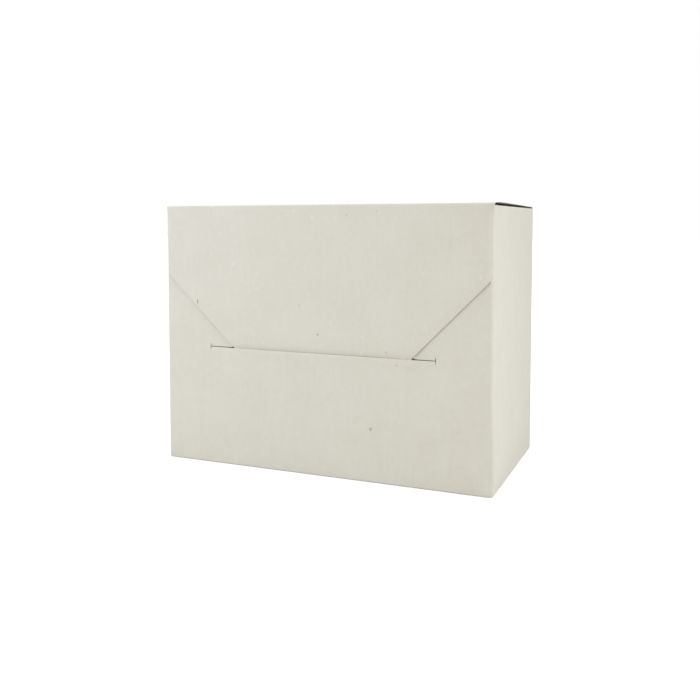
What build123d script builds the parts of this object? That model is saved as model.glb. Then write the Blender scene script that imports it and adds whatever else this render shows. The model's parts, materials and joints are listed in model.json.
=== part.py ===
from build123d import *
import os
from math import cos, radians, sin

# Archive box of folded corrugated board, closed, in millimetres.
# The origin is on the floor under the middle of the box.
# X runs to the right, Y from the front to the back, Z up.

# Outer size of the closed box
box_width = 340.0
box_depth = 180.0
box_height = 260.0

# The board and how it folds
board = 1.6            # thickness of the corrugated board
fold_radius = 2.6      # outer radius of the four upright folds
crease_gap = 0.2       # room across a crease that opens and closes
panel_gap = 0.3        # air between the closing flap and the front wall
lid_gap = 0.4          # air between the lid and the top edges of the walls
lid_inset = 0.8        # the lid and the flap stop this far inside the side walls' faces

# Closing flap and its tongue
flap_length = 140.5    # from the lid down to the crease of the tongue
flap_shoulder = 68.0   # length of the flap's straight sides
flap_end_width = 190.0
tongue_lean = 45.0     # degrees between the tongue and the front wall
tongue_length = 34.0
ear_width = 226.0      # over the two ears of the tongue
ear_rise = 4.0         # length over which the tongue widens to its ears
tongue_taper = 10.0    # how far the tongue narrows from each ear to its end
tongue_corner = 10.0   # radius of the tongue's end corners
ear_corner = 3.0       # radius of the ears' corners
tongue_clearance = 0.3

# Slit in the front wall
slot_length = 235.0
slit_gap = 1.0
cross_cut_height = 6.0
cross_cut_width = 0.8

# Glued seam in the back left corner
glue_tab_width = 35.0
glue_tab_taper = 12.0
glue_tab_end_gap = 4.0

# Folded bottom, from its outer layer inwards: front flap, side flaps, back flap, lock tab
bottom_clearance = 0.5
front_bottom_reach = 100.0   # from the front wall's face to the lock tab
front_bottom_shoulder = 50.0
lock_tab_width = 150.0
lock_tab_climb = 18.0        # run over which the lock tab climbs to its layer
lock_tab_rest = 22.0         # length that lies on the back flap
side_bottom_reach = 90.0
side_bottom_climb = 8.0      # run over which a side flap climbs to its layer
side_bottom_front_taper = 20.0
side_bottom_back_taper = 62.0   # each way, of the cut across a side flap's back corner
back_bottom_reach = 107.0
back_bottom_climb = 14.0     # run over which the back flap climbs to its layer
lock_corner = 8.0            # radius of the corners of the lock tab

# Faces and levels that follow from the sizes
side_face = box_width / 2
back_face = box_depth / 2
flap_face = -box_depth / 2
wall_front_face = flap_face + board + panel_gap
wall_front_inside = wall_front_face + board
wall_back_inside = back_face - board
wall_side_inside = side_face - board
wall_ring_depth = back_face - wall_front_face
wall_ring_middle = (back_face + wall_front_face) / 2
wall_top = box_height - board - lid_gap
lid_width = box_width - 2 * lid_inset
slot_level = box_height - flap_length
side_layer = board
back_layer = 2 * board
lock_layer = 3 * board
floor_top = 4 * board

# Directions in which panels leave their creases
UP = Vector(0, 0, 1)
DOWN = Vector(0, 0, -1)
TO_BACK = Vector(0, 1, 0)
TO_FRONT = Vector(0, -1, 0)
lean = radians(tongue_lean)
ALONG_TONGUE = Vector(0, sin(lean), -cos(lean))
ALONG_BACK_CLIMB = Vector(0, -back_bottom_climb, back_layer)
ALONG_LOCK_CLIMB = Vector(0, lock_tab_climb, lock_layer)

# Outer corners of the creases across the box
lid_front_crease = Vector(0, flap_face, box_height)
lid_back_crease = Vector(0, back_face, box_height)
tongue_crease = Vector(0, flap_face, slot_level)
front_foot_crease = Vector(0, wall_front_face, 0)
back_foot_crease = Vector(0, back_face, 0)
lock_crease = Vector(0, wall_front_face + front_bottom_reach, 0)

# Plan corners of the ring of walls
front_left = (-side_face, wall_front_face)
front_right = (side_face, wall_front_face)
back_right = (side_face, back_face)
back_left = (-side_face, back_face)

tongue_plane = Plane(tongue_crease, x_dir=(1, 0, 0), z_dir=(0, cos(lean), sin(lean)))
tongue_neck = (wall_front_inside - flap_face) / sin(lean) + tongue_clearance


def mitre(crease, panel, neighbour, gap=0.0):
    """Plane that trims a panel halfway to its neighbour across a crease on their outer faces.

    The directions are those in which the two panels leave the crease."""
    into_panel = (panel.normalized() - neighbour.normalized()).normalized()
    return Plane(crease + into_panel * (gap / 2), z_dir=into_panel)


def wall_plan(first, second):
    """One wall's share of the rounded ring of walls, cut at 45 degrees through both folds."""
    with Locations((0, wall_ring_middle)):
        RectangleRounded(box_width, wall_ring_depth, fold_radius)
        Rectangle(box_width - 2 * board, wall_ring_depth - 2 * board, mode=Mode.SUBTRACT)
    Polygon(first, second, inwards(second), inwards(first), align=None, mode=Mode.INTERSECT)


def inwards(corner):
    """The point on the 45 degree line through a plan corner that lies well inside the ring."""
    step = 2 * fold_radius + 2 * board
    x, y = corner
    toward_x = -step if x > 0 else step
    toward_y = -step if y > wall_ring_middle else step
    return (x + toward_x, y + toward_y)


def finish(builder, name):
    """Names a finished piece and writes it."""
    builder.part.label = name
    export_step(builder.part, f"parts/{name}.step")


os.makedirs("parts", exist_ok=True)

# Front wall, with the slit, its two cross cuts and the mouth that the tongue goes through
with BuildPart() as front_wall:
    with BuildSketch():
        wall_plan(front_left, front_right)
    extrude(amount=wall_top)
    split(bisect_by=mitre(front_foot_crease, UP, TO_BACK), keep=Keep.TOP)
    tongue_at_wall = (wall_front_face - flap_face) * cos(lean) / sin(lean)
    slit_level = slot_level - tongue_at_wall + board / sin(lean) / 2
    slit_origin = (0, wall_front_face, slit_level)
    with BuildSketch(Plane(slit_origin, x_dir=(1, 0, 0), z_dir=(0, -1, 0))):
        Rectangle(slot_length, slit_gap)
        with GridLocations(slot_length, 0, 2, 1):
            Rectangle(cross_cut_width, cross_cut_height)
    extrude(amount=-board, mode=Mode.SUBTRACT)
    with BuildSketch(tongue_plane.offset(-tongue_clearance)):
        Rectangle(flap_end_width + 2 * tongue_clearance, 2 * tongue_neck)
    extrude(amount=board + 2 * tongue_clearance, mode=Mode.SUBTRACT)
finish(front_wall, "front_wall")

# Back wall, creased to the lid at its top and to the back bottom flap at its foot
with BuildPart() as back_wall:
    with BuildSketch():
        wall_plan(back_right, back_left)
    extrude(amount=box_height)
    split(bisect_by=mitre(back_foot_crease, UP, ALONG_BACK_CLIMB), keep=Keep.TOP)
    split(bisect_by=mitre(lid_back_crease, DOWN, TO_FRONT, crease_gap), keep=Keep.TOP)
finish(back_wall, "back_wall")

# Side walls and the second layer of the bottom, the same on both sides
for side, sign in (("left", -1), ("right", 1)):
    foot_crease = Vector(sign * side_face, 0, 0)
    along_climb = Vector(-sign * side_bottom_climb, 0, side_layer)

    with BuildPart() as side_wall:
        with BuildSketch():
            if sign < 0:
                wall_plan(back_left, front_left)
            else:
                wall_plan(front_right, back_right)
        extrude(amount=wall_top)
        split(bisect_by=mitre(foot_crease, UP, along_climb), keep=Keep.TOP)
    finish(side_wall, f"{side}_wall")

    flap_front = wall_front_inside + bottom_clearance
    flap_back = back_face - back_bottom_climb - bottom_clearance
    with BuildPart() as side_bottom_flap:
        with BuildSketch(Plane.XZ):
            with BuildLine():
                Polyline(
                    (sign * side_face, 0),
                    (sign * (side_face - side_bottom_climb), side_layer),
                    (sign * (side_face - side_bottom_reach), side_layer),
                )
                offset(amount=board, side=Side.LEFT if sign < 0 else Side.RIGHT)
            make_face()
        extrude(amount=box_depth, both=True)
        split(bisect_by=mitre(foot_crease, along_climb, UP), keep=Keep.TOP)
        with BuildSketch():
            inner_edge = side_face - side_bottom_reach
            Polygon(
                (sign * side_face, flap_front),
                (sign * inner_edge, flap_front + side_bottom_front_taper),
                (sign * inner_edge, flap_back - side_bottom_back_taper),
                (sign * (inner_edge + side_bottom_back_taper), flap_back),
                (sign * side_face, flap_back),
                align=None,
            )
        extrude(amount=floor_top, mode=Mode.INTERSECT)
    finish(side_bottom_flap, f"{side}_bottom_flap")

# Seam tab, folded off the back wall and glued to the inside of the left wall
with BuildPart() as glue_tab:
    with BuildSketch(Plane((-wall_side_inside, 0, 0), x_dir=(0, 1, 0), z_dir=(1, 0, 0))):
        tab_foot = floor_top + glue_tab_end_gap
        tab_head = wall_top - glue_tab_end_gap
        Polygon(
            (wall_back_inside, tab_foot),
            (wall_back_inside, tab_head),
            (wall_back_inside - glue_tab_width, tab_head - glue_tab_taper),
            (wall_back_inside - glue_tab_width, tab_foot + glue_tab_taper),
            align=None,
        )
    extrude(amount=board)
finish(glue_tab, "glue_tab")

# Front bottom flap, the outer layer on which the box stands
with BuildPart() as front_bottom_flap:
    with BuildSketch():
        half_width = side_face - side_bottom_climb - bottom_clearance
        shoulder_line = wall_front_face + front_bottom_shoulder
        Polygon(
            (-half_width, wall_front_face),
            (half_width, wall_front_face),
            (half_width, shoulder_line),
            (lock_tab_width / 2, lock_crease.Y),
            (-lock_tab_width / 2, lock_crease.Y),
            (-half_width, shoulder_line),
            align=None,
        )
    extrude(amount=board)
    split(bisect_by=mitre(front_foot_crease, TO_BACK, UP), keep=Keep.TOP)
    split(bisect_by=mitre(lock_crease, TO_FRONT, ALONG_LOCK_CLIMB), keep=Keep.TOP)
finish(front_bottom_flap, "front_bottom_flap")

# Lock tab, which climbs through the notch and lies on the back bottom flap
with BuildPart() as bottom_lock_tab:
    lock_top_start = lock_crease.Y + lock_tab_climb
    lock_end = lock_top_start + lock_tab_rest
    with BuildSketch(Plane.YZ):
        with BuildLine():
            Polyline((lock_crease.Y, 0), (lock_top_start, lock_layer), (lock_end, lock_layer))
            offset(amount=board, side=Side.LEFT)
        make_face()
    extrude(amount=lock_tab_width / 2, both=True)
    split(bisect_by=mitre(lock_crease, ALONG_LOCK_CLIMB, TO_FRONT), keep=Keep.TOP)
    end_corners = bottom_lock_tab.edges().filter_by(Axis.Z).group_by(Axis.Y)[-1]
    fillet(end_corners, radius=lock_corner)
finish(bottom_lock_tab, "bottom_lock_tab")

# Back bottom flap, the inner layer, with the notch that the lock tab comes up through
with BuildPart() as back_bottom_flap:
    back_edge = back_face - back_bottom_reach
    with BuildSketch(Plane.YZ):
        with BuildLine():
            Polyline(
                (back_face, 0),
                (back_face - back_bottom_climb, back_layer),
                (back_edge, back_layer),
            )
            offset(amount=board, side=Side.RIGHT)
        make_face()
    extrude(amount=wall_side_inside - bottom_clearance, both=True)
    split(bisect_by=mitre(back_foot_crease, ALONG_BACK_CLIMB, UP), keep=Keep.TOP)
    notch_depth = lock_top_start + bottom_clearance - back_edge
    with BuildSketch():
        with Locations((0, back_edge + notch_depth / 2)):
            Rectangle(lock_tab_width + 2 * bottom_clearance, notch_depth)
    extrude(amount=floor_top, mode=Mode.SUBTRACT)
finish(back_bottom_flap, "back_bottom_flap")

# Lid, creased to the back wall and to the closing flap
with BuildPart() as lid:
    with BuildSketch(Plane.XY.offset(box_height)):
        Rectangle(lid_width, box_depth)
    extrude(amount=-board)
    split(bisect_by=mitre(lid_back_crease, TO_FRONT, DOWN, crease_gap), keep=Keep.TOP)
    split(bisect_by=mitre(lid_front_crease, TO_BACK, DOWN, crease_gap), keep=Keep.TOP)
finish(lid, "lid")

# Closing flap, outside the front wall
with BuildPart() as front_flap:
    with BuildSketch(Plane(lid_front_crease, x_dir=(1, 0, 0), z_dir=(0, -1, 0))):
        Polygon(
            (-lid_width / 2, 0),
            (lid_width / 2, 0),
            (lid_width / 2, -flap_shoulder),
            (flap_end_width / 2, -flap_length),
            (-flap_end_width / 2, -flap_length),
            (-lid_width / 2, -flap_shoulder),
            align=None,
        )
    extrude(amount=-board)
    split(bisect_by=mitre(lid_front_crease, DOWN, TO_BACK, crease_gap), keep=Keep.TOP)
    split(bisect_by=mitre(tongue_crease, UP, ALONG_TONGUE, crease_gap), keep=Keep.TOP)
finish(front_flap, "front_flap")

# Tongue, leaning in through the front wall, with ears behind the ends of the slit
with BuildPart() as tongue:
    with BuildSketch(tongue_plane) as tongue_outline:
        ear_start = tongue_neck + ear_rise
        Polygon(
            (-flap_end_width / 2, 0),
            (flap_end_width / 2, 0),
            (flap_end_width / 2, tongue_neck),
            (ear_width / 2, ear_start),
            (ear_width / 2 - tongue_taper, tongue_length),
            (-ear_width / 2 + tongue_taper, tongue_length),
            (-ear_width / 2, ear_start),
            (-flap_end_width / 2, tongue_neck),
            align=None,
        )
        ears = tongue_outline.vertices().group_by(Axis.X)
        fillet(ears[0] + ears[-1], radius=ear_corner)
        tips = tongue_outline.vertices().group_by(Axis.Y)[-1]
        fillet(tips, radius=tongue_corner)
    extrude(amount=board)
    split(bisect_by=mitre(tongue_crease, ALONG_TONGUE, UP, crease_gap), keep=Keep.TOP)
finish(tongue, "tongue")
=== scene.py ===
# %% [markdown]
# An archive box folded from one sheet of recycled corrugated board.
# The real box is die-cut flat, creased, folded up and glued along one seam. So every panel is the
# same thing, two paper liners with a wavy paper between them, and every fold is a place where that
# sheet turns through an arc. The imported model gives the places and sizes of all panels, and this
# lesson dresses each of them with real paper layers.

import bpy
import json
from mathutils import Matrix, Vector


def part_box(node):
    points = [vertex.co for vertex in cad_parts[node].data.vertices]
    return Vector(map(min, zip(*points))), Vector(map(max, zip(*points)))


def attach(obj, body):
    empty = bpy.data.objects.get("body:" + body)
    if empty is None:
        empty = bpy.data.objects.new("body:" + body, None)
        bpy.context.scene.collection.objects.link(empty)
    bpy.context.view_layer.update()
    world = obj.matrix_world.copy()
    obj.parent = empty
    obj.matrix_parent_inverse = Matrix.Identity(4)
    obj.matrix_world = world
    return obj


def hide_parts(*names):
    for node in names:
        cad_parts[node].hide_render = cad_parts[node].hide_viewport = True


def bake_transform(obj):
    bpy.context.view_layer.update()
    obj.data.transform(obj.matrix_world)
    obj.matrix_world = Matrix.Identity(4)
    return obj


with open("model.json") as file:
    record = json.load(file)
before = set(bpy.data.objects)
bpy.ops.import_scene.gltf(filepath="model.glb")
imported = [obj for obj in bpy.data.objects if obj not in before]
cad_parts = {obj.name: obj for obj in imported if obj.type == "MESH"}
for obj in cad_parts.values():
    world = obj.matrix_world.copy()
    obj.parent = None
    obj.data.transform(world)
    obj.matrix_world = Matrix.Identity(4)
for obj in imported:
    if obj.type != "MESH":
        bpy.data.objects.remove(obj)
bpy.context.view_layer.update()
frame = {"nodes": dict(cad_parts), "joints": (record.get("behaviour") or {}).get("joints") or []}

# %% [markdown]
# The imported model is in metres, and board is thought of in millimetres. Sizes are read from the
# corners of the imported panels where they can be, so that the paper always fits the panel under it.

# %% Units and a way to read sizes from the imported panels
import json
from math import cos, pi, radians, sin

import bpy
import numpy as np
from mathutils import Euler, Vector

mm = 0.001
same_plane = 0.3 * mm       # corners this near to a plane lie on it
X, Y, Z = range(3)


def corners_of(node):
    """All corners of a packed panel at rest, one row each."""
    vertices = frame["nodes"][node].data.vertices
    flat = np.zeros(3 * len(vertices), np.float32)
    vertices.foreach_get("co", flat)
    return flat.reshape(-1, 3).astype(float)


def span(node, along, at, value):
    """Lowest and highest place on one axis, among corners at a value of another axis."""
    corners = corners_of(node)
    chosen = corners[np.abs(corners[:, at] - value) < same_plane]
    return chosen[:, along].min(), chosen[:, along].max()


pivot = {joint["name"]: Vector(joint["pos_m"]) for joint in frame["joints"]}
lid_low, lid_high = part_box("lid")
board = lid_high.z - lid_low.z
box_top = lid_high.z
lid_half = lid_high.x
print("board is", round(board / mm, 2), "mm thick")

# %% [markdown]
# Everything else is judged through the camera, so it comes first. It stands just below the level of
# the lid, to the right of the box, and looks slightly down. A small lens shift keeps the upright
# edges almost parallel.

# %% Camera at the photograph's place
def placed(name, data):
    """A new object in the scene."""
    made = bpy.data.objects.new(name, data)
    bpy.context.scene.collection.objects.link(made)
    return made


camera_place = Vector((327.5, -785.4, 240.6)) * mm
camera_turn = radians(22.847)   # to the left of straight ahead
camera_dip = radians(3.250)     # below the horizon
camera_data = bpy.data.cameras.new("photo_camera")
camera_data.sensor_width = 36.0
camera_data.lens = 41.89
camera_data.shift_y = -0.1124
camera_data.dof.use_dof = False
camera = placed("photo_camera", camera_data)
camera.location = camera_place
camera.rotation_euler = Euler((pi / 2 - camera_dip, 0.0, camera_turn))
bpy.context.scene.camera = camera
print("camera stands", round(camera_place.length, 3), "m from the middle of the box's foot")

# %% [markdown]
# A folded panel is a flat grid that is carried round its bends. Seen from the end, its line has
# straight runs and round bends, so it is kept as a list of distances with the place and the heading
# at each. A heading of 0 goes straight down, and a quarter turn goes inwards.


# %% A strip: the line that a folded sheet follows
class Strip:
    """A line through corners in the plane of inset and height, with every bend an arc.

    On a straight run the heading stays. On an arc of radius r it turns by distance / r, and the
    place moves by r times the change of (-cos, -sin) of the heading."""

    def __init__(self, corners, radii, arc_steps=12):
        corners = np.array(corners, float)
        runs = np.diff(corners, axis=0)
        lengths = np.hypot(runs[:, 0], runs[:, 1])
        headings = np.unwrap(np.arctan2(runs[:, 0], -runs[:, 1]))
        turns = np.diff(headings)
        trims = np.concatenate([[0.0], np.array(radii) * np.tan(np.abs(turns) / 2), [0.0]])
        distance, places, turned = [0.0], [corners[0]], [headings[0]]
        self.middles, self.arcs = [], []
        for k, turn in enumerate(turns):
            before = headings[k]
            toward = np.array([np.sin(before), -np.cos(before)])
            start = corners[k + 1] - trims[k + 1] * toward
            begin = distance[-1] + lengths[k] - trims[k] - trims[k + 1]
            heading = before + turn * np.linspace(0, 1, arc_steps + 1)
            swing = np.stack([np.cos(before) - np.cos(heading), np.sin(before) - np.sin(heading)], 1)
            places.extend(start + np.sign(turn) * radii[k] * swing)
            turned.extend(heading)
            distance.extend(begin + radii[k] * np.abs(heading - before))
            self.middles.append(begin + radii[k] * abs(turn) / 2)
            self.arcs.append((begin, distance[-1]))
        self.length = distance[-1] + lengths[-1] - trims[-2]
        self.distance = np.array(distance + [self.length])
        self.places = np.array(places + [corners[-1]])
        self.headings = np.array(turned + [headings[-1]])

    def at(self, distance):
        """Inset, height and heading at any distances along the strip."""
        inset = np.interp(distance, self.distance, self.places[:, 0])
        height = np.interp(distance, self.distance, self.places[:, 1])
        return inset, height, np.interp(distance, self.distance, self.headings)


# %% [markdown]
# Grid lines are needed where something happens: at an edge, a bend or a cut. Between those, even
# steps are enough. All gentle shapes of the board come from a soft step, a bell curve or a hump.


# %% Rulers and soft curves
def ruler(breaks, steps):
    """Grid lines through every break, with even spaces of at most the given step between two breaks."""
    steps = np.broadcast_to(steps, len(breaks) - 1)
    counts = [max(1, int(np.ceil((b - a) / s - 1e-6))) for a, b, s in zip(breaks, breaks[1:], steps)]
    runs = [np.linspace(a, b, n, endpoint=False) for a, b, n in zip(breaks, breaks[1:], counts)]
    return np.concatenate(runs + [breaks[-1:]])


def ease(t):
    """Soft step: 0 up to t = 0, 1 from t = 1, and 3 t squared minus 2 t cubed between."""
    t = np.clip(t, 0.0, 1.0)
    return t * t * (3 - 2 * t)


def bell(x):
    """Bell curve: exp(-x squared)."""
    return np.exp(-(x**2))


def hump(x):
    """From 0 at x = 0 up to 1 at x = 1 and slowly back: x * exp(1 - x)."""
    return x * np.exp(1 - x)


# %% [markdown]
# Each paper layer is a thin closed shell: a grid of cells at one depth, the same grid at a second
# depth, and a narrow wall of faces wherever a kept cell has no kept neighbour. Cells that a cut
# removes are left out, so a slit gets its walls by the same rule as the outer edge.


# %% Faces of a thin closed layer over a grid
def layer_faces(keep):
    """Quads over the kept cells, the same cells reversed below, and walls round the borders."""
    columns, rows = np.add(keep.shape, 1)
    index = np.arange(columns * rows).reshape(columns, rows)
    a, b = index[:-1, :-1], index[1:, :-1]
    c, d = index[1:, 1:], index[:-1, 1:]
    around = np.pad(keep, 1)
    open_sides = (
        (keep & ~around[:-2, 1:-1], a, d),
        (keep & ~around[2:, 1:-1], c, b),
        (keep & ~around[1:-1, :-2], b, a),
        (keep & ~around[1:-1, 2:], d, c),
    )
    top = np.stack([a[keep], b[keep], c[keep], d[keep]], 1)
    below = index.size
    walls = [np.stack([p[m], q[m], q[m] + below, p[m] + below], 1) for m, p, q in open_sides]
    return np.concatenate([top, top[:, ::-1] + below] + walls)


def volume(corners, faces):
    """Enclosed volume, the sum of the signed tetrahedra from the middle to both halves of each quad."""
    a, b, c, d = np.moveaxis((corners - corners.mean(0))[faces], 1, 0)
    return np.einsum("ij,ij->", a, np.cross(b, c) + np.cross(c, d)) / 6


# %% [markdown]
# The board has an outer liner, an inner liner and a fluted paper between them. Where a die has cut
# it, the three are pressed together a little, and a knocked edge is also crushed flat towards its
# outer liner. One class gathers the layers of a panel, and keeps for each corner its place on the
# flat sheet, so that streaks in the paper can follow the flutes round every fold.

# %% The plies of the board
liner = 0.28 * mm
flute_paper = 0.18 * mm
flute_pitch = 3.2 * mm
press_share = 0.32      # how much thinner the board is right at a cut
press_reach = 1.3 * mm
sharp_angle = radians(38)
pieces = {}             # every finished piece by its name


def pressed_at(distance):
    """Share of the thickness that a cut takes away, a bell curve of the distance from the cut."""
    return press_share * bell(distance / press_reach)


def nowhere(u, v):
    """No cut and no knock near."""
    return 0.0 * u


class Panel:
    """One panel as closed paper layers. place(u, v, depth) carries the sheet into the box's frame,
    with u across the flutes, v along them, and depth from the outer face inwards. A press of p moves
    every depth by that share towards the middle of the board, and a crush towards the outer face."""

    def __init__(self, name, place, press=nowhere, crush=nowhere):
        self.name, self.place, self.press, self.crush = name, place, press, crush
        self.corners, self.sheet, self.faces, self.papers = [], [], [], []

    def layer(self, u, v, low, high, paper, keep=None):
        """Adds one closed layer between two depths. A paper of 0 is liner, 1 is fluted paper."""
        if keep is None:
            keep = np.ones(np.subtract(u.shape, 1), bool)
        u, v = np.stack([u, u]), np.stack([v, v])
        depth = np.stack([low + 0 * u[0], high + 0 * u[0]])
        pressed = board / 2 + (depth - board / 2) * (1 - self.press(u, v))
        corners = self.place(u, v, pressed * (1 - self.crush(u, v))).reshape(-1, 3)
        sheet = np.stack([u, v, depth], -1).reshape(-1, 3)
        used, faces = np.unique(layer_faces(keep), return_inverse=True)
        corners, sheet, faces = corners[used], sheet[used], faces.reshape(-1, 4)
        if volume(corners, faces) < 0:
            faces = faces[:, ::-1]
        self.faces.append(faces + sum(map(len, self.corners)))
        self.corners.append(corners)
        self.sheet.append(sheet)
        self.papers.append(np.full(len(faces), paper))

    def plies(self, grid_of):
        """Both liners and the fluted paper, whose depth is a sine of u that touches both liners."""
        u, v, keep = grid_of(fine=False)
        self.layer(u, v, 0.0, liner, 0, keep)
        self.layer(u, v, board - liner, board, 0, keep)
        u, v, keep = grid_of(fine=True)
        swing = board / 2 - liner - flute_paper / 2
        middle = board / 2 + swing * np.sin(2 * pi * u / flute_pitch)
        self.layer(u, v, middle - flute_paper / 2, middle + flute_paper / 2, 1, keep)
        self.mesh_object()

    def mesh_object(self):
        """One object at the origin, with smooth faces, crisp cut edges and the sheet coordinates."""
        corners, faces = np.concatenate(self.corners), np.concatenate(self.faces)
        mesh = bpy.data.meshes.new(self.name)
        mesh.vertices.add(len(corners))
        mesh.vertices.foreach_set("co", corners.astype(np.float32).ravel())
        mesh.loops.add(faces.size)
        mesh.loops.foreach_set("vertex_index", faces.astype(np.int32).ravel())
        mesh.polygons.add(len(faces))
        mesh.polygons.foreach_set("loop_start", np.arange(0, faces.size, 4, dtype=np.int32))
        mesh.update(calc_edges=True)
        mesh.polygons.foreach_set("material_index", np.concatenate(self.papers).astype(np.int32))
        mesh.polygons.foreach_set("use_smooth", np.ones(len(faces), bool))
        mesh.set_sharp_from_angle(angle=sharp_angle)
        sheet = mesh.attributes.new("sheet", "FLOAT_VECTOR", "POINT")
        sheet.data.foreach_set("vector", np.concatenate(self.sheet).astype(np.float32).ravel())
        pieces[self.name] = placed(self.name, mesh)
        print(self.name, "has", 2 * len(faces), "triangles")


# %% [markdown]
# Walls and bottom flaps are one strip each. A wall also turns through an eighth of a circle at each
# upright fold, where it meets the next wall at 45 degrees. So the place of a corner is found in two
# steps: the strip gives how far in and how high it is, and the upright fold turns that inwards. The
# right front fold of this box leans a little, so a third step shifts the walls beside it.

# %% Place of the walls and the bottom flaps
front_low, front_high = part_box("front_wall")
side_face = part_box("right_wall")[1].x
wall_front = front_low.y
wall_top = front_high.z
box_back = pivot["lid_hinge"].y
eighth = pi / 4
fold_radius = (side_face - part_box("back_wall")[1].x) / (1 - cos(eighth))
ring_middle = (box_back + wall_front) / 2
ring_half = (box_back - wall_front) / 2
# Where each wall stands: its foot, the way along it and the way into the box.
stance = {
    "front": ((0, wall_front, 0), (1, 0, 0), (0, 1, 0)),
    "back": ((0, box_back, 0), (1, 0, 0), (0, -1, 0)),
    "left": ((-side_face, ring_middle, 0), (0, 1, 0), (1, 0, 0)),
    "right": ((side_face, ring_middle, 0), (0, 1, 0), (-1, 0, 0)),
}
side_bulge = 0.9 * mm       # near the floor the right front fold stands out a little
bulge_peak = 18.0 * mm
lean_power = 6              # only the board near the fold leans with it
# Higher up the fold comes in: by how much, from which height on, and over which height.
lean_steps = np.array([(1.2, 30, 50), (0.9, 130, 90), (-0.5, 240, 20)]) * mm
print("upright folds have a radius of", round(fold_radius / mm, 2), "mm")


def side_lean(height):
    """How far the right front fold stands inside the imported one.

    Out near the floor by a hump, then in by soft steps, the last one back out."""
    steps = sum(size * ease((height - start) / rise) for size, start, rise in lean_steps)
    return steps - side_bulge * hump(height / bulge_peak)


def leaning(place):
    """The same place function with the right front fold leaned over.

    The shift grows with a high power of x across the front and falls to nothing at the back."""

    def leaned(u, v, depth):
        at = place(u, v, depth)
        across = np.maximum(at[..., X] / side_face, 0) ** lean_power
        share = across * ease((box_back - at[..., Y]) / (box_back - wall_front))
        shift = share * side_lean(np.maximum(at[..., Z], 0))
        return at - shift[..., None] * np.array([1.0, 0.0, 0.0])

    return leaned


def folded_place(side, strip, half=None, relief=None):
    """Place function of a panel that hangs on a strip.

    push is how far a corner lies inside the outer face: inset + depth * cos(heading). Its height is
    the strip's height + depth * sin(heading). Past the straight part the wall turns by
    (|u| - straight) / radius, and its inward direction turns with it."""
    foot, along, inward = np.array(stance[side], float)
    straight = np.inf if half is None else half - fold_radius

    def place(u, v, depth):
        inset, height, heading = strip.at(v)
        push = inset + depth * np.cos(heading)
        if relief is not None:
            push = push + relief(u, height)
        rise = height + depth * np.sin(heading)
        turn = np.clip((np.abs(u) - straight) / fold_radius, 0, eighth)
        across = np.minimum(np.abs(u), straight) + (fold_radius - push) * np.sin(turn)
        inwards = fold_radius * (1 - np.cos(turn)) + push * np.cos(turn)
        flat = along * (np.sign(u) * across)[..., None] + inward * inwards[..., None]
        return foot + flat + rise[..., None] * np.array([0.0, 0.0, 1.0])

    return place


# %% [markdown]
# Each strip is shared by a wall and what is creased to it, so both meet in the middle of the bend.
# The front one runs along the bottom to the lock tab's crease and climbs over three layers of board.
# The side ones climb over one layer and the back one over two.

# %% The strips of the walls
foot_radius = 2.2 * mm
climb_radius = 7.0 * mm
crease_reach = 3.0 * mm     # board on each side of a moving crease that the crease piece replaces
layer_two, layer_three, layer_four = board, 2 * board, 3 * board
lock_crease = span("front_bottom_flap", Y, Z, 0.0)[1] - wall_front
lock_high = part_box("bottom_lock_tab")[1]
lock_climb = 18.0 * mm
side_climb = 8.0 * mm
back_climb = 14.0 * mm
side_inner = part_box("right_bottom_flap")[0].x
back_flap_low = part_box("back_bottom_flap")[0]

front_strip = Strip(
    [(0, wall_top), (0, 0), (lock_crease, 0)]
    + [(lock_crease + lock_climb, layer_four), (lock_high.y - wall_front, layer_four)],
    [foot_radius, climb_radius, climb_radius],
)
side_strip = Strip(
    [(0, wall_top), (0, 0), (side_climb, layer_two), (side_face - side_inner, layer_two)],
    [foot_radius, climb_radius],
)
back_strip = Strip(
    [(0, box_top - crease_reach), (0, 0)]
    + [(back_climb, layer_three), (box_back - back_flap_low.y, layer_three)],
    [foot_radius, climb_radius],
)
print("the front strip is", round(front_strip.length / mm, 1), "mm long")

# %% [markdown]
# Most panels lie between two borders that run along the flutes and may slant, like the sides of the
# closing flap. So their grids are spread between a low and a high border, with more lines close to
# both, where the die pressed the board.

# %% Panels between two borders
liner_step = 7.0 * mm
flute_step = flute_pitch / 6
near_cut = np.array([0.0, 0.5, 1.1, 2.0, 3.2, 5.0]) * mm


def border(*points):
    """The place of a border at any v: straight lines between (v, u) points."""
    v_points, u_points = np.array(points, float).T
    return lambda v: np.interp(v, v_points, u_points)


def centres(grid):
    """Middle of every cell of a grid."""
    return (grid[:-1, :-1] + grid[1:, 1:]) / 2


def from_borders(u, v, low, high):
    """Distance from the nearer border."""
    return np.minimum(u - low(v), high(v) - u)


def spread(rows, low, high, step, lines=()):
    """Grid between two borders: u is low(v) + share * (high(v) - low(v)).

    The shares are even, with more of them close to both borders. rows are the grid lines along the
    flutes, and lines are more values of u that a panel of one width needs grid lines at."""
    widest = np.max(high(rows) - low(rows))
    edges = near_cut / widest
    marks = (np.array(lines) - low(rows[0])) / widest
    shares = ruler(np.unique(np.concatenate([edges, 1 - edges, marks])), step / widest)
    v = np.broadcast_to(rows, (len(shares), len(rows)))
    return low(v) + shares[:, None] * (high(v) - low(v)), v


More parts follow.
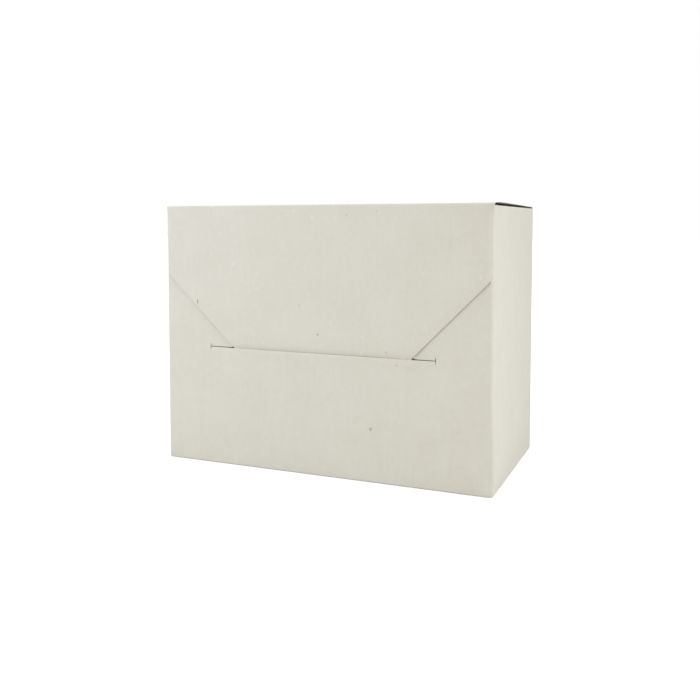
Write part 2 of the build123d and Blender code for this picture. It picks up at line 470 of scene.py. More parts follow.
def bordered_panel(
    name, place, rows, low, high, cut_first=False, cut_last=True, notch=None, lines=(), crush=nowhere
):
    """A three-ply panel between two borders. notch(u, v) is true in a part that is cut away."""

    def press(u, v):
        distance = from_borders(u, v, low, high)
        if cut_first:
            distance = np.minimum(distance, v - rows[0])
        if cut_last:
            distance = np.minimum(distance, rows[-1] - v)
        return pressed_at(distance)

    def grid_of(fine):
        u, v = spread(rows, low, high, flute_step if fine else liner_step, lines)
        if notch is None:
            return u, v, None
        return u, v, ~notch(centres(u), centres(v))

    Panel(name, place, press, crush).plies(grid_of)


# %% [markdown]
# The front wall is the one panel with a cut inside it, a long slit with a short cross cut at each
# end. Where the tongue goes through, its thickness holds the slit open: the upper lip is pushed in
# and up behind the flap, and the lower lip is crushed thin and swells out a little below its edge.
# Beyond the flap both lips come together again, and the slit is a thin dark line.

# %% Sizes of the slit
tongue_level = pivot["tongue_fold"].z
flap_face = pivot["tongue_fold"].y
wall_corners = corners_of("front_wall")
inside_wall = np.abs(wall_corners[:, X]) < 0.8 * side_face     # leaves out the two upright folds
slit_end = wall_corners[inside_wall, X].max()
cross_low, cross_high = span("front_wall", Z, X, slit_end)
slit_level = (cross_low + cross_high) / 2
cross_width = 0.55 * mm
slit_gap = 0.7 * mm
flap_end_half = span("front_flap", X, Z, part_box("front_flap")[0].z)[1]
left_end = 91.3 * mm        # the flap's left slant runs further in than packed
right_end = 94.5 * mm       # and its right one a little further in
slit_shift = -0.7 * mm      # the slit is cut that far to the left of the middle
mouth_top = tongue_level + 1.2 * mm
mouth_in = 2.0 * mm         # inside the flap's end, the tongue holds the upper lip up fully
mouth_out = 3.0 * mm        # beyond the flap's end, the lips are closed again
press_depth = 0.8 * mm      # how far the flap and the wall behind it bend inwards at the slit
press_rise = 12.0 * mm      # height over which they bend more and more
press_at_ends = 0.3         # share of that depth at the flap's lower corners
press_fade = 24.0 * mm
swell = 0.35 * mm           # how far the lower lip swells out
swell_peak = 3.5 * mm       # below its edge
lip_crush = 0.6             # share of the thickness that the lower lip loses at its edge
lip_crush_reach = 2.0 * mm
lip_out_reach = 13.0 * mm
lip_fade = 10.0 * mm        # beyond the flap's end, both lips come back to the wall
corner_push = 0.4 * mm      # beside the flap's corners the lower lip lies closer to the tongue
corner_crush = 0.25         # and is that much thinner
corner_reach = 30.0 * mm
corner_full = 4.0 * mm      # inside a corner, where both are in full
corner_edge = 1.0 * mm      # outside it, where both have ended
bend_reach = 5.5 * mm       # board on each side of the tongue's bend that its crease piece replaces
press_bottom = tongue_level + bend_reach
press_top = press_bottom + press_rise
print("the slit is", round(2 * slit_end / mm, 1), "mm long at", round(slit_level / mm, 2), "mm")


def beyond_flap(u):
    """How far outside the flap's lower corners, negative between them."""
    return np.maximum(u - right_end, -left_end - u)


def pressed_in(u, height):
    """How far the flap and the wall behind it bend inwards above the slit.

    Two parabolas of the distance s below the top of the bend: s squared / (rise * total) down to
    press_bottom, then 1 - (total - s) squared / (settle * total), which meets it at the same slope."""
    total = press_rise + bend_reach
    s = np.clip(press_top - height, 0, total)
    growing = s**2 / (press_rise * total)
    settling = 1 - (total - s) ** 2 / (bend_reach * total)
    share = press_at_ends + (1 - press_at_ends) * ease(-beyond_flap(u) / press_fade)
    return press_depth * share * np.where(s < press_rise, growing, settling)


def near_flap(u):
    """1 between the flap's lower corners, falling to 0 beyond them."""
    return 1 - ease(beyond_flap(u) / lip_fade)


def beside_corner(u):
    """Soft rise over corner_reach towards each lower corner of the flap, and a quick fall at it."""
    inside = -beyond_flap(u)
    rise = ease((corner_reach - inside) / (corner_reach - corner_full))
    return rise * ease((inside + corner_edge) / mouth_out)


def lip_relief(u, height):
    """Inward push of the front wall round the slit: in above it, out below it.

    The lower lip follows the tongue at its edge, and below that it swells in a hump."""
    down = np.clip(slit_level - height, 0, None)
    with_tongue = pressed_in(u, tongue_level) - press_depth + corner_push * beside_corner(u)
    follow = with_tongue * (1 - ease(down / lip_out_reach))
    below = follow - swell * hump(down / swell_peak)
    return near_flap(u) * np.where(height > slit_level, pressed_in(u, height), below)


def lip_levels(u):
    """Heights of the lower lip, which is level, and of the upper lip, which the tongue lifts."""
    lifted = 1 - ease((beyond_flap(u) + mouth_in) / (mouth_in + mouth_out))
    upper = slit_level + slit_gap / 2
    return slit_level - slit_gap / 2 + 0 * u, upper + lifted * (mouth_top - upper)


# %% Front wall
wall_step = 12.0 * mm       # the same in all papers, so that they lean alike and none cuts another
foot_step = foot_radius / 8


def wall_columns(half, fine, inside=()):
    """Grid lines across a wall: close in the two round folds, even between them."""
    straight = half - fold_radius
    end = straight + fold_radius * eighth
    breaks = np.concatenate([[-end, -straight], inside, [straight, end]])
    steps = np.full(len(breaks) - 1, flute_step if fine else liner_step)
    steps[[0, -1]] = fold_radius * eighth / 8
    return ruler(breaks, steps)


def wall_rows(strip):
    """Grid lines down a wall, from the cut or creased top to the middle of the foot's bend."""
    breaks = np.concatenate([near_cut, [strip.arcs[0][0], strip.middles[0]]])
    return ruler(breaks, [wall_step] * len(near_cut) + [foot_step])


slit_inner = slit_end - cross_width
mouth_lines = np.array([-2 * mouth_in, -mouth_in, 0.0, mouth_out, lip_fade])
slit_columns = np.concatenate(
    [slit_shift + np.array([-slit_end, -slit_inner]), -left_end - mouth_lines[::-1]]
    + [right_end + mouth_lines, slit_shift + np.array([slit_inner, slit_end])]
)


def front_grid(fine):
    """Grid of the front wall, whose rows beside the slit follow its two lips."""
    u = wall_columns(side_face, fine, slit_columns)
    if not fine:
        near_end = (beyond_flap(u) > mouth_lines[0]) & (beyond_flap(u) < mouth_lines[-1])
        extra = (u[:-1] + u[1:])[near_end[:-1] & near_end[1:]] / 2
        u = np.unique(np.concatenate([u, extra]))
    close_step = 3 * mm if fine else 1.5 * mm
    above = ruler(
        [*near_cut, wall_top - press_top, wall_top - cross_high],
        [wall_step] * len(near_cut) + [close_step],
    )
    below = ruler(
        [wall_top - cross_low, wall_top - slit_level + lip_out_reach]
        + [front_strip.arcs[0][0], front_strip.middles[0]],
        [close_step, wall_step, foot_step],
    )
    lower, upper = (wall_top - level for level in lip_levels(u))
    between = [(above[-1] + upper) / 2, upper, lower, (lower + below[0]) / 2]
    v = np.stack([row + 0 * u for row in [*above, *between, *below]], 1)
    u = np.broadcast_to(u[:, None], v.shape)
    middle = np.abs(centres(u) - slit_shift)
    row = np.broadcast_to(np.arange(v.shape[1] - 1), middle.shape)
    slit_row = len(above) + 1
    in_slit = (row == slit_row) & (middle < slit_end)
    cross_rows = (row >= len(above) - 1) & (row < len(above) + len(between))
    in_cross = cross_rows & (middle > slit_inner) & (middle < slit_end)
    return u, v, ~(in_slit | in_cross)


def front_press(u, v):
    """Pressed along the top edge and along the slit."""
    height = wall_top - v
    lower, upper = lip_levels(u)
    past_end = np.abs(u - slit_shift) - slit_end
    from_lips = np.maximum(np.maximum(lower - height, height - upper), past_end)
    return pressed_at(np.minimum(v, np.maximum(from_lips, 0)))


def front_crush(u, v):
    """The lower lip is crushed, most at its edge: a bell curve of the distance below the slit."""
    down = slit_level - (wall_top - v)
    share = lip_crush + corner_crush * beside_corner(u)
    return share * near_flap(u) * np.where(down > 0, bell(down / lip_crush_reach), 0)


front_place = leaning(folded_place("front", front_strip, half=side_face, relief=lip_relief))
Panel("front_wall_board", front_place, front_press, front_crush).plies(front_grid)

# %% [markdown]
# The other three walls have no cuts inside, so they only need their columns, their rows and the
# strip they hang on. The side walls end in a plain cut edge under the lid, and the back wall runs
# on into the lid's crease.

# %% Back and side walls
def plain_wall(side, strip, half, cut_top):
    """A wall without cuts inside it."""

    def grid_of(fine):
        u, v = np.meshgrid(wall_columns(half, fine), wall_rows(strip), indexing="ij")
        return u, v, None

    def press(u, v):
        return pressed_at(v) if cut_top else 0 * v

    Panel(f"{side}_wall_board", leaning(folded_place(side, strip, half=half)), press).plies(grid_of)


plain_wall("back", back_strip, side_face, False)
plain_wall("left", side_strip, ring_half, True)
plain_wall("right", side_strip, ring_half, True)

# %% [markdown]
# The folded bottom has four layers where they all meet: the front flap outside, the two side flaps
# on it, the back flap on those, and the lock tab that comes up through the back flap's notch. The
# flutes run away from each crease, as they do on a sheet that was cut in one piece.

# %% Bottom flaps
front_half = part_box("front_bottom_flap")[1].x
front_shoulder = span("front_bottom_flap", Y, X, front_half)[1] - wall_front
foot_middle, lock_middle, _ = front_strip.middles
bottom_step = 6.0 * mm


def bottom_rows(start, strip, end, kinks=()):
    """Grid lines of a bottom flap from the middle of a bend to its cut edge."""
    marks = [b for arc in strip.arcs for b in arc]
    marks += list(kinks) + list(end - near_cut)
    inside = sorted(m for m in marks if start < m < end)
    return ruler([start, *inside, end], bottom_step)


def from_wall(strip, inset):
    """Distance along a strip at which it has gone in by a given inset."""
    return float(np.interp(inset, strip.places[:, 0], strip.distance))


shoulder_at = from_wall(front_strip, front_shoulder)
lock_half = lock_high.x
front_edge = border((foot_middle, front_half), (shoulder_at, front_half), (lock_middle, lock_half))
bottom_place = folded_place("front", front_strip)
bordered_panel(
    "front_bottom_flap_board",
    bottom_place,
    bottom_rows(foot_middle, front_strip, lock_middle, [shoulder_at]),
    lambda v: -front_edge(v),
    front_edge,
    cut_last=False,
)

# %% Lock tab with round corners
lock_corner = 8.0 * mm
lock_end = front_strip.length
corner_start = lock_end - lock_corner
corner_rows = corner_start + lock_corner * np.sin(np.linspace(0, pi / 2, 10))
lock_rows = np.unique(
    np.concatenate([bottom_rows(lock_middle, front_strip, corner_start), corner_rows])
)


def lock_edge(v):
    """Half width of the lock tab, whose corners are quarter circles."""
    into = np.clip((v - corner_start) / lock_corner, 0, 1)
    return lock_half - lock_corner * (1 - np.sqrt(1 - into**2))


bordered_panel("bottom_lock_tab_board", bottom_place, lock_rows, lambda v: -lock_edge(v), lock_edge)

# %% Side flaps of the bottom
side_start, side_end = side_strip.middles[0], side_strip.length
for side, sign in (("left", -1), ("right", 1)):
    node = f"{side}_bottom_flap"
    low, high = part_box(node)
    inner_low, inner_high = span(node, Y, X, sign * side_inner)
    cut_near = np.abs(np.array(span(node, X, Y, high.y))).min()
    taper_start = from_wall(side_strip, side_face - cut_near)
    low_edge = border((side_start, low.y - ring_middle), (side_end, inner_low - ring_middle))
    high_edge = border(
        (side_start, high.y - ring_middle),
        (taper_start, high.y - ring_middle),
        (side_end, inner_high - ring_middle),
    )
    side_rows = bottom_rows(side_start, side_strip, side_end, [taper_start])
    bordered_panel(f"{node}_board", folded_place(side, side_strip), side_rows, low_edge, high_edge)

# %% Back flap of the bottom with its notch
back_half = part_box("back_bottom_flap")[1].x
back_corners = corners_of("back_bottom_flap")
at_front = np.abs(back_corners[:, Y] - back_flap_low.y) < same_plane
notch_half = np.abs(back_corners[at_front, X]).min()
notch_back = span("back_bottom_flap", Y, X, notch_half)[1]
notch_start = from_wall(back_strip, box_back - notch_back)
back_start, back_end = back_strip.middles[0], back_strip.length


def in_notch(u, v):
    """True in the notch that the lock tab comes up through."""
    return (np.abs(u) < notch_half) & (v > notch_start)


bordered_panel(
    "back_bottom_flap_board",
    folded_place("back", back_strip),
    bottom_rows(back_start, back_strip, back_end, [notch_start]),
    lambda v: -back_half + 0 * v,
    lambda v: back_half + 0 * v,
    notch=in_notch,
    lines=(-notch_half, notch_half),
)

# %% [markdown]
# The glue tab is folded off the back wall and lies on the inside of the left wall. Its ends are cut
# at a slant so that it slips in without catching.

# %% Glue tab
tab_low, tab_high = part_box("glue_tab")
tab_short_low, tab_short_high = span("glue_tab", Z, Y, tab_low.y)
tip = 0.6 * mm


def tab_place(u, v, depth):
    """The tab stands upright, v above its foot, with depth going into the box."""
    return np.stack([tab_low.x + depth, u, tab_low.z + v], -1)


tab_height = tab_high.z - tab_low.z
tab_breaks = [0, tab_short_low - tab_low.z, tab_short_high - tab_low.z, tab_height]
tab_rows = ruler(tab_breaks, [3 * mm, 20 * mm, 3 * mm])
tab_out, tab_in = tab_high.y - tip, tab_low.y
tab_edge = border(*zip(tab_breaks, (tab_out, tab_in, tab_in, tab_out)))
bordered_panel(
    "glue_tab_board", tab_place, tab_rows, tab_edge, lambda v: tab_high.y + 0 * v, cut_first=True
)

# %% [markdown]
# The lid is flat except at its two cut sides, which are crushed thin. The right one is knocked up
# behind the front crease and hangs a little towards the back, the left one much less. So the
# photograph shows a black gap under the side of the lid, which starts at once behind the front
# crease and narrows towards the back.

# %% Lid
lid_reach = box_back - flap_face
knock_up = 0.95 * mm
knock_rise = 20.0 * mm      # behind the front crease, over which the edge comes up
knock_fall = 1.4 * mm
hinge_rise = 10.0 * mm      # in front of the lid's hinge, over which the edge comes back
fall_start = 43.0 * mm
knock_width = 30.0 * mm
left_share = 0.3            # the left side is knocked about less than the right one
knocked_reach = 14.0 * mm
knocked_share = 0.88        # how much thinner the board is at the knocked edge
crush_start = 1.5 * mm
lid_inset = 1.3 * mm        # the lid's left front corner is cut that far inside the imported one


def by_side(u):
    """1 on the right of the lid, and the left side's share on the left."""
    return np.where(u > 0, 1.0, left_share)


def lid_knock(u, v):
    """Rise of the lid's sides. Along the edge it is knock_up * (1 - (1 - t) squared), less a straight
    fall further back, and across the edge it grows with the square of the distance."""
    rise = 1 - (1 - np.clip((v - crease_reach) / knock_rise, 0, 1)) ** 2
    fall = np.clip((v - fall_start) / (lid_reach - fall_start), 0, 1)
    at_hinge = ease((lid_reach - crease_reach - v) / hinge_rise)
    across = np.clip((np.abs(u) - (lid_half - knock_width)) / knock_width, 0, 1) ** 2
    return by_side(u) * across * at_hinge * (knock_up * rise - knock_fall * fall)


def lid_crush(u, v):
    """Crushed sides: a bell curve of the distance from the cut, from the front crease on."""
    share = knocked_share * by_side(u) * ease((v - crease_reach) / crush_start)
    return share * bell((lid_half - np.abs(u)) / knocked_reach)


def lid_place(u, v, depth):
    """The lid lies flat, v behind its front crease, with depth going down."""
    return np.stack([u, flap_face + v, box_top + lid_knock(u, v) - depth], -1)


lid_rows = ruler(
    [crease_reach, crease_reach + 2 * crush_start, fall_start, lid_reach - crease_reach],
    [0.5 * mm, 3 * mm, 6 * mm],
)
bordered_panel(
    "lid_board",
    lid_place,
    lid_rows,
    border((0, lid_inset - lid_half), (lid_reach, -lid_half)),
    lambda v: lid_half + 0 * v,
    cut_last=False,
    crush=lid_crush,
)

# %% [markdown]
# The closing flap hangs outside the front wall. Its sides are straight at first and then cut in at
# a slant towards the slit. Just above the slit it bends in together with the wall behind it, which
# the photograph shows as a slightly darker band.

# %% Closing flap
flap_shoulder = box_top - span("front_flap", Z, X, lid_half)[0]
flap_length = box_top - tongue_level
left_inset = 1.6 * mm       # the flap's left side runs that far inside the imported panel
right_inset = 2.1 * mm      # the right one follows the leaning fold
shoulder_inset = 1.6 * mm
inset_reach = 20.0 * mm
inset_start = 8.0 * mm
inset_end = 47.0 * mm
slant_start = flap_shoulder - 0.8 * mm
left_slant_start = flap_shoulder + 1.0 * mm
slant_crush = 0.35          # the right slant is crushed onto the wall, the left one less
left_crush = 0.1
slant_press = 0.05 * mm
lift_reach = 11.0 * mm
side_crush = 0.7            # both straight sides are crushed thin where they turn with the wall
side_crush_reach = 3.0 * mm
flap_right = border(
    (0, lid_half),
    (inset_start, lid_half - shoulder_inset),
    (inset_reach, lid_half - right_inset),
    (inset_end, lid_half - right_inset),
    (slant_start, lid_half - shoulder_inset),
    (flap_length, right_end),
)
flap_left = border(
    (0, lid_inset - lid_half),
    (inset_reach, left_inset - lid_half),
    (left_slant_start, left_inset - lid_half),
    (flap_length, -left_end),
)
flap_rows = ruler(
    [crease_reach, inset_start, inset_reach, inset_end, slant_start, flap_shoulder, left_slant_start]
    + [box_top - press_top, box_top - press_bottom],
    np.array([1, 2, 8, 8, 1, 1, 8, 1.5]) * mm,
)
wrap_radius = 6.5 * mm
wrap_reach = 12.0 * mm
wrap_share = 0.75           # of that radius, the furthest that a side goes round


def slant_thinning(u, v):
    """Share of the thickness that the slants lose: full at the edge, nothing lift_reach inside."""
    at_right = 1 - ease((flap_right(v) - u) / lift_reach)
    at_left = 1 - ease((u - flap_left(v)) / lift_reach)
    along = ease((v - flap_shoulder) / lift_reach) * ease((flap_length - bend_reach - v) / lift_reach)
    return along * (slant_crush * at_right + left_crush * at_left)


def flap_crush(u, v):
    """The slants' loss, and a bell curve of the distance from the straight sides."""
    from_side = from_borders(u, v, flap_left, flap_right)
    along = ease((v - crease_reach) / lift_reach) * (1 - ease((v - flap_shoulder) / lift_reach))
    return slant_thinning(u, v) + side_crush * along * bell(from_side / side_crush_reach)


def corner_wrap(u, height):
    """The flap's sides follow the round upright folds: radius - sqrt(radius squared - x squared)."""
    over = np.abs(u) + np.where(u > 0, side_lean(height), 0) - (side_face - 2 * fold_radius)
    x = np.clip(over, 0, wrap_share * wrap_radius)
    return (wrap_radius - np.sqrt(wrap_radius**2 - x**2)) * ease((box_top - height) / wrap_reach)


def flap_place(u, v, depth):
    """The flap hangs straight down, v below the lid's face, and bends in above the slit.

    A crushed edge lies on the wall, so its outer face moves in by what its thickness loses."""
    height = box_top - v
    onto_wall = slant_thinning(u, v) * (board + slant_press / slant_crush)
    inward = pressed_in(u, height) + corner_wrap(u, height) + onto_wall
    return np.stack([u, flap_face + inward + depth, height], -1)


bordered_panel(
    "front_flap_board", flap_place, flap_rows, flap_left, flap_right, cut_last=False, crush=flap_crush
)

# %% [markdown]
# The tongue goes through the slit at 45 degrees. It widens to two ears behind the ends of the slit,
# which keep it from slipping out. Its outline is a strip of its own, read as half width against
# length, so its round corners come from the same arcs as the folds.

# %% Tongue
lean = radians(45)
tongue_corners = corners_of("tongue")
tongue_inwards = tongue_corners[:, Y] - flap_face
tongue_drop = tongue_level - tongue_corners[:, Z]
tongue_length = (tongue_inwards * sin(lean) + tongue_drop * cos(lean)).max()
neck_end = 6.5 * mm
ear_start = neck_end + 4.0 * mm
ear_half = 113.0 * mm
tip_half = ear_half - 10.0 * mm
tongue_outline = Strip(
    [(flap_end_half, -bend_reach), (flap_end_half, -neck_end), (ear_half, -ear_start)]
    + [(tip_half, -tongue_length), (0, -tongue_length)],
    [1.0 * mm, 3.0 * mm, 10.0 * mm],
)
outline_marks = [0.0, *[b for arc in tongue_outline.arcs for b in arc]]
outline_steps = np.array([2, 0.3, 1, 0.5, 4, 1]) * mm
half_widths, heights, _ = tongue_outline.at(ruler(outline_marks, outline_steps))
tongue_rows = -heights
half_width = border(*zip(tongue_rows, half_widths))


def tongue_side(sign, corner):
    """Border of the tongue. The neck starts at a lower corner of the flap and soon has the outline's
    half width."""
    more = corner - flap_end_half
    return lambda v: sign * (half_width(v) + more * (1 - ease((v - bend_reach) / neck_end)))


def tongue_place(u, v, depth):
    """The tongue runs in and down from its crease, with depth going in and up."""
    inward = flap_face + pressed_in(u, tongue_level) + v * sin(lean) + depth * cos(lean)
    return np.stack([u, inward, tongue_level - v * cos(lean) + depth * sin(lean)], -1)


tongue_left, tongue_right = tongue_side(-1, left_end), tongue_side(1, right_end)
bordered_panel("tongue_board", tongue_place, tongue_rows, tongue_left, tongue_right)

# %% [markdown]
# A crease that opens and closes is a narrow strip of crushed board. The liners run on through it and the
# flutes are flattened, so it is one thin solid, thinnest in the middle of the bend. Each crease piece is
# made at rest, with the box closed.

# %% Moving creases
crease_radius = 1.4 * mm
bend_radius = 12.0 * mm
crushed_share = 0.42        # how much thinner the board is in the middle of a crease
crease_ends = 6.0 * mm      # at both ends of a crease the board keeps its thickness
ripple = 0.04 * mm
ripple_length = 9.0 * mm
crease_step = 3.0 * mm
stance["flap"] = ((0, flap_face, 0), (1, 0, 0), (0, 1, 0))


def crease_piece(name, side, strip, low, high, relief=None):
    """A crushed strip of board that runs the whole width of a crease, between two borders.

    Its thickness falls from the full board at both ends to the crushed share at the middle, with a
    faint ripple along the crease."""
    rows = ruler([0, *strip.arcs[0], strip.length], [0.5 * mm, 0.25 * mm, 0.5 * mm])
    u, v = spread(rows, low, high, crease_step)
    away = np.abs(v - strip.middles[0]) / (strip.length / 2)
    ends = ease(from_borders(u, v, low, high) / crease_ends)
    crushed = crushed_share * (1 - ease(away)) * ends
    wave = ripple * np.sin(2 * pi * u / ripple_length) * np.sin(pi * v / strip.length)
    panel = Panel(name, folded_place(side, strip, relief=relief))
    panel.layer(u, v, 0.0, board * (1 - crushed) + wave, 0)
    panel.mesh_object()


over_edge = Strip([(crease_reach, box_top), (0, box_top), (0, box_top - crease_reach)], [crease_radius])
bend_end = (bend_reach * sin(lean), tongue_level - bend_reach * cos(lean))
into_slit = Strip([(0, press_bottom), (0, tongue_level), bend_end], [bend_radius])


def from_crease(edge):
    """A side of the flap, which starts where the lid's front crease ends."""
    return lambda v: edge(v - over_edge.length + crease_reach)


def in_bend(edge):
    """A side of the flap, read at the height of each row of the tongue's bend."""
    return lambda v: edge(box_top - into_slit.at(v)[1])


crease_piece("lid_crease", "back", over_edge, border((0, -lid_half)), border((0, lid_half)))
crease_piece("flap_crease", "flap", over_edge, from_crease(flap_left), from_crease(flap_right), corner_wrap)
crease_piece("tongue_crease", "flap", into_slit, in_bend(flap_left), in_bend(flap_right), pressed_in)

# %% [markdown]
# Shader maths reads like arithmetic when a socket is wrapped in a small class. Sums and products of
# wrapped sockets add Math nodes, and one method makes any other node from its settings and inputs.


# %% Arithmetic on sockets
class Signal:
    """One output socket in a material. Arithmetic on it adds Math nodes."""

    def __init__(self, tree, socket=None):
        self.tree, self.socket = tree, socket

    def node(self, kind, settings=None, inputs=None, out=0):
        """Adds a node of any kind: its settings, then the values or links of its inputs."""
        made = self.tree.nodes.new(kind)
        for name, value in (settings or {}).items():
            setattr(made, name, value)
        for name, value in (inputs or {}).items():
            if isinstance(value, Signal):
                self.tree.links.new(value.socket, made.inputs[name])
            else:
                made.inputs[name].default_value = value
        return Signal(self.tree, made.outputs[out])

    def maths(self, operation, first, second=0.0, clamp=False):
        """A Math node on two values or signals."""
        settings = {"operation": operation, "use_clamp": clamp}
        return self.node("ShaderNodeMath", settings, {0: first, 1: second})

    def __add__(self, other):
        return self.maths("ADD", self, other)

    def __sub__(self, other):
        return self.maths("SUBTRACT", self, other)

    def __mul__(self, other):
        return self.maths("MULTIPLY", self, other)

    def __rsub__(self, other):
        return self.maths("SUBTRACT", other, self)

    __radd__ = __add__
    __rmul__ = __mul__

    def clamped(self):
        """Held between 0 and 1."""
        return self.maths("ADD", self, 0.0, clamp=True)

    def above(self, level):
        """1 where the signal is above a level, otherwise 0."""
        return self.maths("GREATER_THAN", self, level)

    def mixed(self, first, second):
        """A colour that goes from first to second as the signal goes from 0 to 1."""
        inputs = {0: self, 6: first, 7: second}
        return self.node("ShaderNodeMix", {"data_type": "RGBA"}, inputs, out=2)

    def into(self, shader, name):
        """Links the signal to a shader's input."""
        self.tree.links.new(self.socket, shader.inputs[name])


# %% [markdown]
# Recycled liner is pale grey-beige and never even. Its colour drifts in soft clouds, faint streaks
# follow the flutes, and it holds small dark and light bits of old paper. The flutes show through
# the liner as a very shallow washboard. Heights below are real ones in metres, so the bump's
# distance is 1. Object coordinates carry the clouds across folds without a break.


# %% Clouds, streaks and flecks of recycled paper
fleck_edge = 3.0        # the higher, the sharper the rim of a fleck
bit_edge = 1.6


def noise(where, size, detail=2.0):
    """Soft noise whose blotches are about one size wide."""
    inputs = {"Vector": where, "Scale": 1 / size, "Detail": detail, "Roughness": 0.5}
    return where.node("ShaderNodeTexNoise", {"noise_dimensions": "3D"}, inputs)


def stretched(where, shares, turn=(0.0, 0.0, 0.0)):
    """Coordinates turned and then scaled by a share along each axis."""
    inputs = {"Vector": where, "Scale": shares, "Rotation": turn}
    return where.node("ShaderNodeMapping", {"vector_type": "TEXTURE"}, inputs)


def flecks(where, apart, radius, share):
    """1 in small round bits: in that share of the cells, near each cell's point."""
    inputs = {"Vector": where, "Scale": 1 / apart}
    cells = where.node("ShaderNodeTexVoronoi", {"feature": "F1"}, inputs, out="Distance")
    lot = Signal(where.tree, cells.socket.node.outputs["Color"])
    near = (1.0 - cells * (apart / radius)) * fleck_edge
    return near.clamped() * lot.above(1 - share)


def one_bit(where, middle, size):
    """1 in one round or long bit: 1 minus the length of the place over the bit's half size, held."""
    inputs = {"Vector": where, "Location": middle, "Scale": size}
    place = where.node("ShaderNodeMapping", {"vector_type": "TEXTURE"}, inputs)
    away = where.node("ShaderNodeVectorMath", {"operation": "LENGTH"}, {0: place}, out="Value")
    return ((1.0 - away) * bit_edge).clamped()


# The few bits on the front that the photograph shows plainly: place and half size in millimetres,
# and strength.
marked_bits = [
    ((-132.4, -90, 163.6), (1.0, 4, 3.0), 1.3),
    ((54.5, -88, 50.9), (1.5, 4, 2.1), 1.0),
    ((31.0, -90, 249.7), (1.5, 4, 1.5), 0.4),
    ((1.0, -90, 137.0), (2.1, 4, 1.5), 0.6),
    ((69.9, -90, 124.0), (1.6, 4, 1.3), 0.5),
    ((80.0, -88, 112.3), (1.5, 4, 1.5), 0.45),
    ((-18.0, -90, 163.9), (1.5, 4, 1.8), 0.3),
]

# %% Board material
liner_tones = ((0.602, 0.580, 0.499, 1.0), (0.690, 0.673, 0.598, 1.0))
dark_fleck = (0.23, 0.20, 0.16, 1.0)
light_fleck = (0.80, 0.79, 0.72, 1.0)
speck_share, hair_share, blot_share, pale_share = 0.6, 0.4, 0.08, 0.22  # how far flecks tint it
fibre_height, mottle_height, wavy_height = 0.03 * mm, 0.08 * mm, 0.05 * mm


def board_material(name, tones, washboard):
    """Matte recycled paper in two tones, with a washboard of the given height."""
    material = bpy.data.materials.new(name)
    material.use_nodes = True
    tree = material.node_tree
    paint = Signal(tree)
    where = paint.node("ShaderNodeTexCoord", out="Object")
    sheet = paint.node("ShaderNodeAttribute", {"attribute_name": "sheet"}, out="Vector")

    clouds = noise(where, 34 * mm, 3.0)
    mottle = noise(where, 5 * mm, 3.0)
    streaks = noise(stretched(sheet, (1.0, 40.0, 1.0)), 2.4 * mm)
    fibres = noise(where, 0.5 * mm, 3.0)
    tone = 0.5
    for signal, share in ((clouds, 0.55), (mottle, 0.5), (streaks, 0.25), (fibres, 0.35)):
        tone = tone + (signal - 0.5) * share
    colour = tone.clamped().mixed(*tones)

    wavy = noise(where, 3 * mm)
    specks = flecks(where, 9 * mm, 0.55 * mm, 0.16)
    blots = flecks(where, 14 * mm, 1.3 * mm, 0.35)
    for middle, size, strength in marked_bits:
        half_size = tuple(length * mm for length in size)
        specks = specks + one_bit(where, Vector(middle) * mm, half_size) * strength
    threads = stretched(where, (1.0, 1.0, 3.2), (0.0, radians(37), 0.0))
    hairs = flecks(threads, 6 * mm, 0.26 * mm, 0.16)
    pale = flecks(stretched(where, (1.0, 1.0, 1.7)), 10 * mm, 1.4 * mm, 0.4)
    dark = specks * speck_share + hairs * hair_share + blots * blot_share
    colour = dark.clamped().mixed(colour, dark_fleck)
    colour = (pale * pale_share).mixed(colour, light_fleck)

    across = paint.node("ShaderNodeSeparateXYZ", inputs={0: sheet}, out="X")
    ridges = paint.maths("SINE", across * (2 * pi / flute_pitch))
    height = ridges * washboard + fibres * fibre_height + mottle * mottle_height + wavy * wavy_height
    bump = paint.node("ShaderNodeBump", inputs={"Height": height, "Distance": 1.0, "Strength": 0.8})
    rough = 0.86 + (mottle - 0.5) * 0.12

    shader = tree.nodes["Principled BSDF"]
    shader.inputs["Specular IOR Level"].default_value = 0.22
    colour.into(shader, "Base Color")
    rough.into(shader, "Roughness")
    bump.into(shader, "Normal")
    return material


liner_paper = board_material("recycled_liner", liner_tones, 0.012 * mm)
flute_tones = ((0.42, 0.37, 0.28, 1.0), (0.54, 0.49, 0.39, 1.0))
flute_material = board_material("fluted_paper", flute_tones, 0.0)
print("materials:", liner_paper.name, flute_material.name)

# %% [markdown]
# Every piece now takes its paper. Each panel's piece rides on the body of the panel that it stands for and
# hides that panel. Each crease is fixed in place, with the two bodies it joins and its ends on both sides
# of the fold listed beside it.

# %% Pieces take their paper and their place in the motion
moving = {"lid": "lid", "front_flap": "flap", "tongue": "tongue"}   # the others ride on the box
nodes = [name.removesuffix("_board") for name in pieces if name.endswith("_board")]
riding = [(pieces[f"{node}_board"], node, moving.get(node, "box")) for node in nodes]
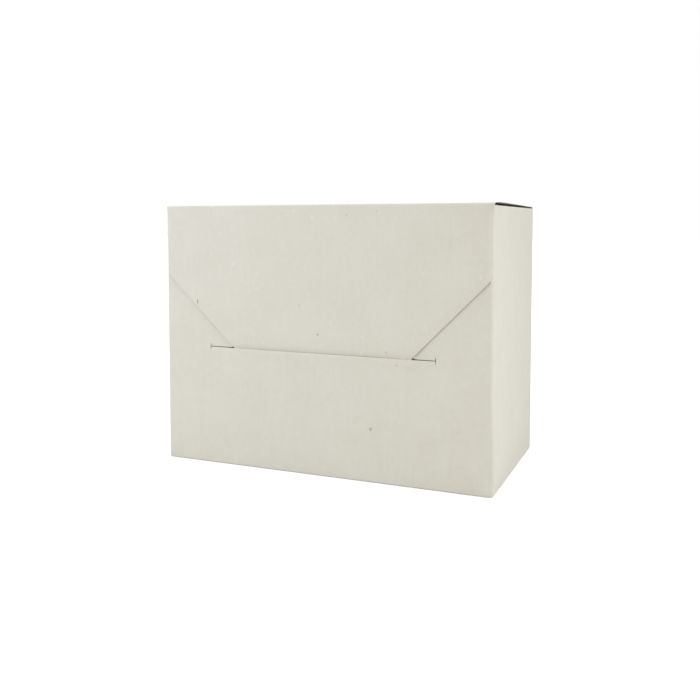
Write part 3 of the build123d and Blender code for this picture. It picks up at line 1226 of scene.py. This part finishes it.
# The turn of a crease is spread so that both faces of the board are still flat at its two ends.
half_turn = (crease_reach - board) / 2
below_edge, above_edge = box_top - half_turn, box_top + half_turn
outer_back, inner_back = box_back + half_turn, box_back - half_turn
outer_front, inner_front = flap_face - half_turn, flap_face + half_turn
bending = [
    (pieces["lid_crease"], "box", "lid", (0, outer_back, below_edge), (0, inner_back, above_edge)),
    (pieces["flap_crease"], "lid", "flap", (0, inner_front, above_edge), (0, outer_front, below_edge)),
    (
        pieces["tongue_crease"],
        "flap",
        "tongue",
        (0, flap_face, press_bottom),
        (0, flap_face + bend_end[0], bend_end[1]),
    ),
]
for piece, node, body in riding:
    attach(piece, body)
    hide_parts(node)
for piece, first, second, start, end in bending:
    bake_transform(piece)
for piece in pieces.values():
    piece.data.materials.append(liner_paper)
    piece.data.materials.append(flute_material)
print(len(riding), "panels ride and", len(bending), "creases bend")

# %% [markdown]
# The photograph has a plain white surround and very soft light. A white world does most of it, as
# a light tent does. A large panel on the right lifts the side wall, and one high on the left gives
# the top left of the front its slightly lighter tone.


# %% Floor, light and picture tones
def soft_panel(name, place, aim, size, power, spread=180, colour=(1.0, 1.0, 1.0)):
    """A square area light at a place, turned to face a point, with its beam's spread in degrees."""
    data = bpy.data.lights.new(name, "AREA")
    data.shape, data.size, data.energy = "SQUARE", size, power
    data.spread, data.color = radians(spread), colour
    made = placed(name, data)
    made.location = place
    made.rotation_euler = (Vector(aim) - Vector(place)).to_track_quat("-Z", "Y").to_euler()


soft_panel("left_panel", (-0.75, -0.75, 0.65), (-0.1, -0.09, 0.16), 0.6, 3.1)
soft_panel("right_panel", (0.95, -0.2, 0.35), (0.17, -0.23, 0.13), 0.6, 0.53, 60, (0.86, 0.88, 1.0))
soft_panel("top_panel", (0.0, 0.1, 2.0), (0.0, 0.0, 0.26), 1.4, 4.0)
soft_panel("back_panel", (0.3, 1.5, 0.9), (0.0, 0.09, 0.13), 0.9, 4.0)
soft_panel("cool_window", (-0.45, -0.55, 0.62), (-0.17, -0.09, 0.27), 0.3, 0.08, 60, (0.25, 0.45, 1.0))

world = bpy.data.worlds.new("white_surround")
world.use_nodes = True
seen = Signal(world.node_tree).node("ShaderNodeLightPath", out="Is Camera Ray")
surround_light = 0.935
backdrop = world.node_tree.nodes["Background"]
backdrop.inputs["Color"].default_value = (1.0, 1.0, 1.0, 1.0)
strength = seen * (1.0 - surround_light) + surround_light
strength.into(backdrop, "Strength")
bpy.context.scene.world = world
bpy.context.scene.view_settings.view_transform = "Standard"

floor_half = 12.0
floor_mesh = bpy.data.meshes.new("floor")
floor_corners = [(floor_half * x, floor_half * y, 0) for x, y in ((-1, -1), (1, -1), (1, 1), (-1, 1))]
floor_mesh.from_pydata(floor_corners, [], [(0, 1, 2, 3)])
floor = placed("floor", floor_mesh)
floor_material = bpy.data.materials.new("pale_floor")
floor_material.use_nodes = True
floor_shader = floor_material.node_tree.nodes["Principled BSDF"]
floor_shader.inputs["Base Color"].default_value = (0.71, 0.70, 0.66, 1.0)
floor_shader.inputs["Roughness"].default_value = 1.0
floor_shader.inputs["Specular IOR Level"].default_value = 0.0
floor_shader.inputs["Emission Strength"].default_value = 0.55
in_view = Signal(floor_material.node_tree).node("ShaderNodeLightPath", out="Is Camera Ray")
glow = in_view.mixed((0.0, 0.0, 0.0, 1.0), (1.0, 1.0, 1.0, 1.0))
glow.into(floor_shader, "Emission Color")
floor_mesh.materials.append(floor_material)
